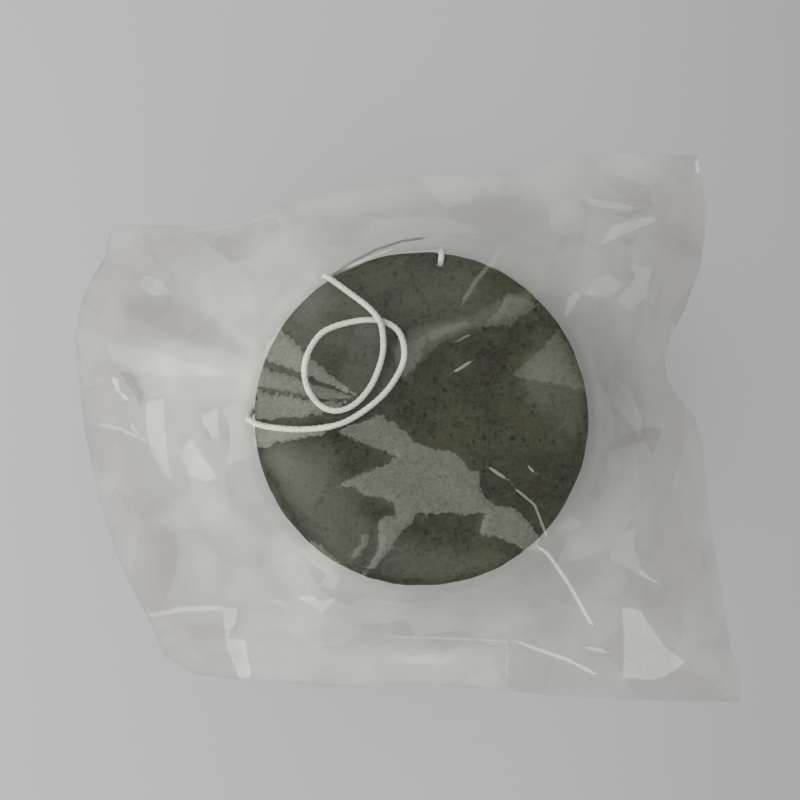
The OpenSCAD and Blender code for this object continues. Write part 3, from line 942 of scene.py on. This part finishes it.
def filmHeights():
    # Over the face it lies flat; from the shoulder it falls with (1 - s)^power, and
    # 4 s (1 - s)^2 shapes its folds; creases add height exp(-(distance / width)^2)
    grid, radius, length, away = filmGrid()
    spots = grid.reshape(-1, 2)
    top = foamPlace[2] + foam["faceHeight"] + film["cling"]
    turn = np.degrees(np.arctan2(away[:, 1], away[:, 0])) % 360
    bends = [(angle, film["bendWidth"], 1) for angle in film["bendAngles"]]
    shoulder = foam["radius"] + film["reach"] + film["twineReach"] * humps(turn, bends).max(axis=-1)
    fallLength = length - film["weld"] - shoulder
    share = np.clip((radius - shoulder) / fallLength, 0, 1)
    low = 2 * film["thickness"]
    height = low + (top - low) * (1 - share) ** film["sagPower"]
    folds = humps(turn, film["folds"]).sum(axis=-1)
    height += film["foldHeight"] * folds * 4 * share * (1 - share) ** 2
    height, share = height.reshape(-1), share.reshape(-1)
    room = np.clip(np.broadcast_to(fallLength, radius.shape) / film["wrinkleRoom"], 0, 1)
    height += wrinkles(spots, radius, away, share) * room.reshape(-1)
    radius = radius.reshape(-1)
    beyond = ease((radius - foam["radius"] + 1) / 4)
    height = np.maximum(height, twineTents(spots, top, beyond))
    seen = seenPixels(np.column_stack([spots, height]))
    onFall = np.where(radius > foam["radius"] - 2, 1, 0.3) * np.clip((1 - share) * 6, 0, 1)
    for width, rise, _, *line in creases:
        off = segmentDistance(seen, line)
        height += film["creaseHeight"] * rise * np.exp(-((off / max(width, 4)) ** 2)) * onFall
    side, which = nearestCrease(seen)
    widths, creaseHighlights = (np.array([crease[k] for crease in creases], float) for k in (0, 2))
    veil, hazeAndPaintedLight, paintedLightAndShade = veilPlaces(seen)
    overFace = radius < foam["radius"] - 1
    puffed = film["veilHeight"] * ease(veil / 6 + 0.3) * np.clip(hazeAndPaintedLight, 0, 1)
    height += np.where(overFace, puffed, 0)
    height = np.where(overFace, np.maximum(height, top), height)
    height = np.maximum(height, low)
    past = radius - foam["radius"]
    # The film's haze and painted fill light round the foam, stronger on the lamp's side
    ringed = np.exp(-np.maximum(past, 0) / film["hazeAndFillReach"]) * ease((past + 0.6) / 4)
    mean, swing = film["hazeAndFillSides"]
    lit = np.broadcast_to(mean - swing * away[:, 0], grid.shape[:2]).reshape(-1)
    marks = {
        "veil": np.clip(veil, -15, 15),
        "hazeAndPaintedLight": hazeAndPaintedLight,
        "side": np.clip(side, -15, 15) / widths[which],
        "crease": creaseHighlights[which],
        # painted highlight along the nearest crease, painted shadow where below 0
        "nearCrease": np.clip(np.abs(side), 0, 15),
        "paintedLightAndShade": paintedLightAndShade,
        "hazeAndFillLight": ringed * film["frontHazeAndFillLight"] * lit,
        "fall": ease(share * 12),
    }
    return grid, height, marks


def filmMaterial(name):
    # Clear film: what is behind shows through, a thin haze and painted highlights whiten it where
    # it stands off or is creased, painted shade browns it where it lies in shade, and folds glint
    look = Look(name)
    spot = look.place()
    frayed = look.noise(spot, 700, 3, 0.6)
    cloud = look.noise(spot, 60, 3, 0.5)
    fall = look.attribute("fall")
    ragged = look.noise(spot, 1900, 2, 0.6)
    veil = look.attribute("veil") + (frayed - 0.5) * (10 - fall * 7)
    veil = veil + (ragged - 0.5) * (4 - fall * 2)
    # the veils' whitening is the film's haze and painted reflection, and painted shade where the
    # amount is below 0
    patch = look.step(veil, -0.6, 0.8) * look.attribute("hazeAndPaintedLight") * (0.1 + ragged * 1.8)
    # painted highlight along the creases
    off = look.math("ABSOLUTE", look.attribute("side") + (frayed - 0.5) * 0.8)
    line = 1 - look.step(off, 0.55, 1.25)
    near = 1 - look.step(look.attribute("nearCrease"), 5, 8)
    line = line * near * look.attribute("crease")
    # painted highlight and painted shade from the soft edged patches
    paintedLightAndShade = look.attribute("paintedLightAndShade") * (0.7 + look.step(cloud, 0.3, 0.7) * 0.5)
    # haze and painted fill light round the foam
    hazeAndFillLight = look.attribute("hazeAndFillLight") * (0.18 + cloud * 0.1)
    # painted light and shade of the crumpled facets on the fall
    facetLightAndShade = look.facetTones(spot, 62, 0.011) * 0.085
    facetLightAndShade = facetLightAndShade + look.facetTones(spot, 150, 0.006) * 0.03
    amount = 0.003 + patch * (0.08 + fall * 0.06) + line * (0.16 + fall * 0.06)
    amount = amount + paintedLightAndShade * 0.05 + hazeAndFillLight + facetLightAndShade * fall
    dull = look.math("ABSOLUTE", amount)
    hazeAndHighlightColour = look.blend(fall, film["faceHazeAndHighlight"], film["fallHazeAndHighlight"])
    tint = look.blend(look.step(amount, -0.01, 0.01), film["shade"], hazeAndHighlightColour)
    normal = look.bump(look.noise(spot, 200, 2, 0.5), 0.3, 0.0004)
    through = look.node("BsdfTransparent", {}, {"Color": (*film["clear"], 1)})
    gloss = {"Color": (1, 1, 1, 1), "Roughness": film["glossRoughness"], "Normal": normal}
    shine = look.node("BsdfGlossy", {}, gloss)
    # Held low, because a wall's inner side would else turn to a mirror on the steep falls
    mirror = look.node("Fresnel", {}, {"IOR": film["mirrorIndex"], "Normal": normal})
    mirror = look.math("MINIMUM", mirror, film["mostMirror"])
    clearFilm = look.node("MixShader", {}, {0: mirror, 1: through, 2: shine})
    sockets = {0: dull, 1: clearFilm, 2: look.matt(tint, 0.5)}
    return look.finish(look.node("MixShader", {}, sockets))


def filmPiece(name, material, flat, height, marks):
    # Rings of points from the innermost out, closed over the middle by a fan, given a wall
    rows, columns = flat.shape[:2]
    points = np.column_stack([flat.reshape(-1, 2), height])
    points = np.concatenate([points, [[*foamPlace[:2], height[:columns].mean()]]])
    marks = {key: np.append(values, values[0]) for key, values in marks.items()}
    grid = gridFaces(rows, columns)[:, ::-1]
    faces = [grid, poleFaces(0, columns, rows * columns)]
    piece = buildPiece(name, points, faces, filmMaterial(material), marks)
    wall = piece.modifiers.new("wall", "SOLIDIFY")
    wall.thickness, wall.offset = film["meshThickness"] * mm, 0
    applyModifiers(piece)
    # So clear that it takes no light from what it covers
    piece.visible_shadow = piece.visible_diffuse = False
    return piece


def makeFilms():
    # The front film on its rays, and the back film flat on the table under the same rays
    grid, height, marks = filmHeights()
    front = filmPiece("frontFilm", "clearFilm", grid, height, marks)
    reach = (outline - foamPlace[:2]) * np.array(film["backRings"])[:, None, None]
    past = lengths(reach).reshape(-1) - foam["radius"]
    place, wide = film["backFillLightRing"]
    zero = np.zeros(len(past))
    marks = {key: zero for key in marks}
    marks.update(veil=zero - 15, nearCrease=zero + 15)
    # painted light in a ring round the foam, where it shades the table
    marks["hazeAndFillLight"] = film["backFillLight"] * np.exp(-(((past - place) / wide) ** 2))
    height = zero + film["backHeight"]
    return front, filmPiece("backFilm", "clearFilmBack", foamPlace[:2] + reach, height, marks)


frontFilm, backFilm = makeFilms()
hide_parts("bag_front_film")
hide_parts("bag_back_film")
print("films made,", len(frontFilm.data.polygons), "faces")


def tableMaterial():
    # Pale matt board, a little uneven in tone, with painted shade dimming it towards the right
    look = Look("paleTable")
    spot = look.place()
    tone = look.noise(spot, 9, 3)
    plain = studio["tableColour"]
    pale, rightShade = ([c * studio[key] for c in plain] for key in ("paleShare", "rightShadeShare"))
    colour = look.blend(tone, plain, pale)
    across = look.node("SeparateXYZ", {}, {"Vector": spot})
    # painted shade towards the right
    colour = look.blend(look.step(across, 0.02, 0.12), colour, rightShade)
    return look.finish(look.matt(colour, 0.6, Specular_IOR_Level=0.2))


def makeStudio():
    # The table, one large soft lamp high at the left, and a pale room round them
    size, low = studio["tableSize"] / 2, -studio["tableDrop"]
    corners = [(x * size, y * size, low) for x, y in ((-1, -1), (1, -1), (1, 1), (-1, 1))]
    mesh = addMesh("table", corners, [np.array([[0, 1, 2, 3]])])
    mesh.materials.append(tableMaterial())
    addObject("table", mesh)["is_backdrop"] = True
    lamp = bpy.data.lights.new("softWindow", "AREA")
    lamp.shape = "RECTANGLE"
    lamp.size, lamp.size_y = (v * mm for v in studio["lampSize"])
    lamp.energy, lamp.color = studio["lampPower"], studio["lampColour"]
    window = addObject("softWindow", lamp)
    window.location = [v * mm for v in studio["lampPlace"]]
    window.rotation_euler = (-window.location).to_track_quat("-Z", "Y").to_euler()
    world = bpy.data.worlds.new("room")
    world.use_nodes = True
    back = world.node_tree.nodes["Background"]
    back.inputs["Color"].default_value = (*studio["roomColour"], 1)
    back.inputs["Strength"].default_value = studio["roomLight"]
    scene.world = world


makeStudio()
print("studio made")

{"cad": cadBox, "visual": [list(corner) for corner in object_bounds()]}
